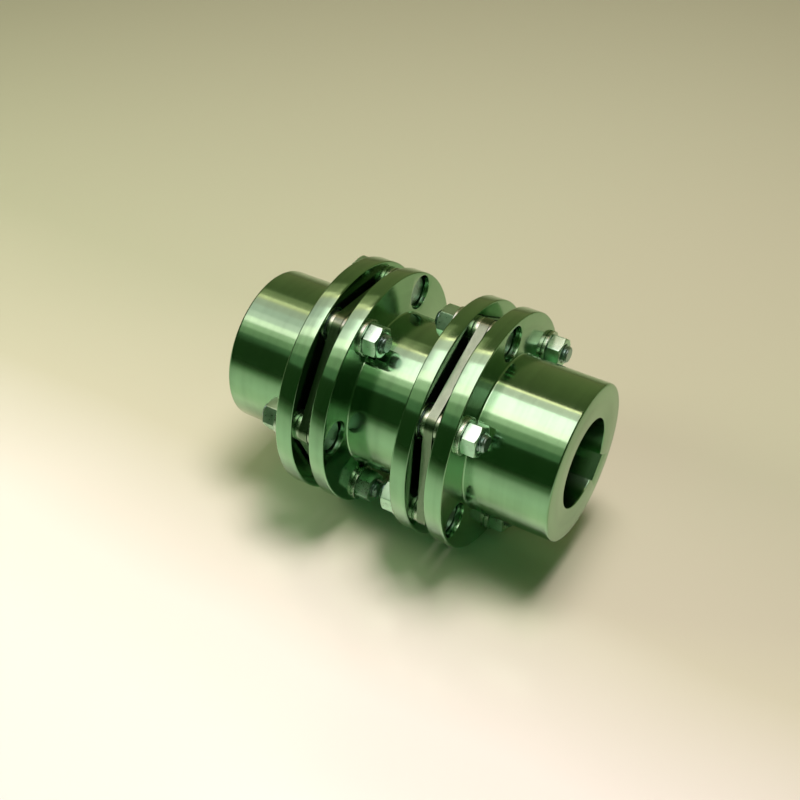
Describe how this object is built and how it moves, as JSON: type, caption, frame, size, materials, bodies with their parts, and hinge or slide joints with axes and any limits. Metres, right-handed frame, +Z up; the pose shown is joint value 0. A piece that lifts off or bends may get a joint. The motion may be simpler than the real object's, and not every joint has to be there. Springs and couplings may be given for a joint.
{
  "type": "flexible disc coupling",
  "caption": "Spacer shaft coupling: two keyed hubs joined through laminated disc packs bolted alternately to hub and flanged spacer tube.",
  "frame": {"origin": "on the shaft axis, at the middle of the spacer", "axes": "+X along the shaft axis towards the right hub, +Z up"},
  "size_m": [0.235, 0.16, 0.16],
  "materials": {
    "turned_steel": "fine turned",
    "disc_steel": "rolled spring steel",
    "bolt_steel": "satin",
    "nut_steel": "bright plated",
    "washer_steel": "satin",
    "bushing_steel": "satin"
  },
  "bodies": {
    "spacer": {"spacer_tube": "turned_steel", "left_spacer_flange": "turned_steel", "right_spacer_flange": "turned_steel", "left_spacer_bolt_1": "bolt_steel", "left_spacer_nut_1": "nut_steel", "left_spacer_washer_1": "washer_steel", "left_spacer_bushing_1": "bushing_steel", "left_spacer_bolt_2": "bolt_steel", "left_spacer_nut_2": "nut_steel", "left_spacer_washer_2": "washer_steel", "left_spacer_bushing_2": "bushing_steel", "left_spacer_bolt_3": "bolt_steel", "left_spacer_nut_3": "nut_steel", "left_spacer_washer_3": "washer_steel", "left_spacer_bushing_3": "bushing_steel", "right_spacer_bolt_1": "bolt_steel", "right_spacer_nut_1": "nut_steel", "right_spacer_washer_1": "washer_steel", "right_spacer_bushing_1": "bushing_steel", "right_spacer_bolt_2": "bolt_steel", "right_spacer_nut_2": "nut_steel", "right_spacer_washer_2": "washer_steel", "right_spacer_bushing_2": "bushing_steel", "right_spacer_bolt_3": "bolt_steel", "right_spacer_nut_3": "nut_steel", "right_spacer_washer_3": "washer_steel", "right_spacer_bushing_3": "bushing_steel"},
    "left_disc_inner": {"left_discs_inner": "disc_steel"},
    "left_disc_outer": {"left_discs_outer": "disc_steel"},
    "left_hub": {"left_hub": "turned_steel", "left_hub_bolt_1": "bolt_steel", "left_hub_nut_1": "nut_steel", "left_hub_washer_1": "washer_steel", "left_hub_bushing_1": "bushing_steel", "left_hub_bolt_2": "bolt_steel", "left_hub_nut_2": "nut_steel", "left_hub_washer_2": "washer_steel", "left_hub_bushing_2": "bushing_steel", "left_hub_bolt_3": "bolt_steel", "left_hub_nut_3": "nut_steel", "left_hub_washer_3": "washer_steel", "left_hub_bushing_3": "bushing_steel"},
    "right_disc_inner": {"right_discs_inner": "disc_steel"},
    "right_disc_outer": {"right_discs_outer": "disc_steel"},
    "right_hub": {"right_hub": "turned_steel", "right_hub_bolt_1": "bolt_steel", "right_hub_nut_1": "nut_steel", "right_hub_washer_1": "washer_steel", "right_hub_bushing_1": "bushing_steel", "right_hub_bolt_2": "bolt_steel", "right_hub_nut_2": "nut_steel", "right_hub_washer_2": "washer_steel", "right_hub_bushing_2": "bushing_steel", "right_hub_bolt_3": "bolt_steel", "right_hub_nut_3": "nut_steel", "right_hub_washer_3": "washer_steel", "right_hub_bushing_3": "bushing_steel"}
  },
  "joints": [
    {"name": "left_tilt_y", "type": "hinge", "parent": "spacer", "child": "left_disc_inner", "pos_m": [-0.0415, 0, 0], "axis": [0, 1, 0], "range_deg": [-1, 1], "stiffness_Nm_per_rad": 600, "deforming": ["left_discs_inner"]},
    {"name": "left_tilt_z", "type": "hinge", "parent": "left_disc_inner", "child": "left_disc_outer", "pos_m": [-0.0415, 0, 0], "axis": [0, 0, 1], "range_deg": [-1, 1], "stiffness_Nm_per_rad": 600, "deforming": ["left_discs_outer"]},
    {"name": "left_float", "type": "slide", "parent": "left_disc_outer", "child": "left_hub", "axis": [1, 0, 0], "range_m": [-0.0015, 0.0015], "stiffness_N_per_m": 150000},
    {"name": "right_tilt_y", "type": "hinge", "parent": "spacer", "child": "right_disc_inner", "pos_m": [0.0415, 0, 0], "axis": [0, 1, 0], "range_deg": [-1, 1], "stiffness_Nm_per_rad": 600, "deforming": ["right_discs_inner"]},
    {"name": "right_tilt_z", "type": "hinge", "parent": "right_disc_inner", "child": "right_disc_outer", "pos_m": [0.0415, 0, 0], "axis": [0, 0, 1], "range_deg": [-1, 1], "stiffness_Nm_per_rad": 600, "deforming": ["right_discs_outer"]},
    {"name": "right_float", "type": "slide", "parent": "right_disc_outer", "child": "right_hub", "axis": [1, 0, 0], "range_m": [-0.0015, 0.0015], "stiffness_N_per_m": 150000}
  ]
}
